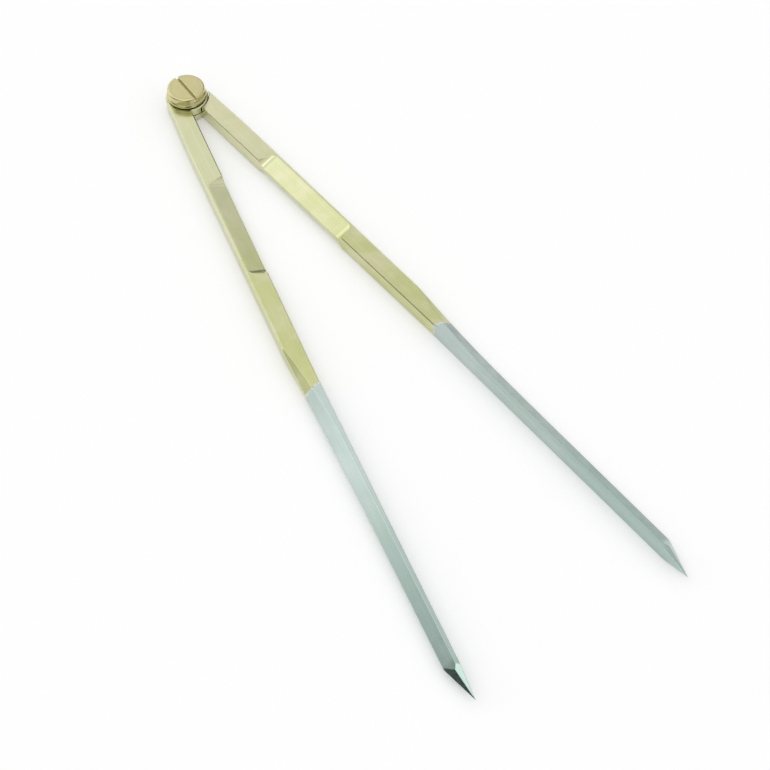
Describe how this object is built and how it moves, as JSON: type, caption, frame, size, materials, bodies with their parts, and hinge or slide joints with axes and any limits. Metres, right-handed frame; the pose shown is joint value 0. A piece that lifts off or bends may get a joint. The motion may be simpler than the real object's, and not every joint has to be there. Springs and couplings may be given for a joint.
{
  "type": "navigation divider",
  "caption": "Straight brass chart divider with hollow-ground steel points on a lapped pivot with a slotted screw. The legs swing open by hand, stay where they are set and step off distances.",
  "frame": {"origin": "pivot axis of the legs, on the plane of the flat underside", "axes": "+Z along the pivot axis out of the screw head, -Y along the line midway between the legs, from the pivot to the tips"},
  "size_m": [0.0638, 0.2039, 0.0079],
  "materials": {
    "arm_brass": "polished, with faint lengthwise grinding lines",
    "point_steel": "ground and polished",
    "screw_brass": "turned and polished",
    "washer_bronze": "plain"
  },
  "bodies": {
    "right_leg": {"right_arm": "arm_brass", "right_point": "point_steel", "pivot_nut": "arm_brass", "friction_washer": "washer_bronze"},
    "left_leg": {"left_arm": "arm_brass", "left_point": "point_steel"},
    "screw": {"pivot_screw": "screw_brass", "head_washer": "screw_brass"}
  },
  "joints": [
    {"name": "leg_swing", "type": "hinge", "parent": "right_leg", "child": "left_leg", "pos_m": [0, 0, 0], "axis": [0, 0, -1], "range_deg": [-17, 163]},
    {"name": "screw_turn", "type": "hinge", "parent": "right_leg", "child": "screw", "pos_m": [0, 0, 0], "axis": [0, 0, 1], "range_deg": [-90, 90]}
  ]
}
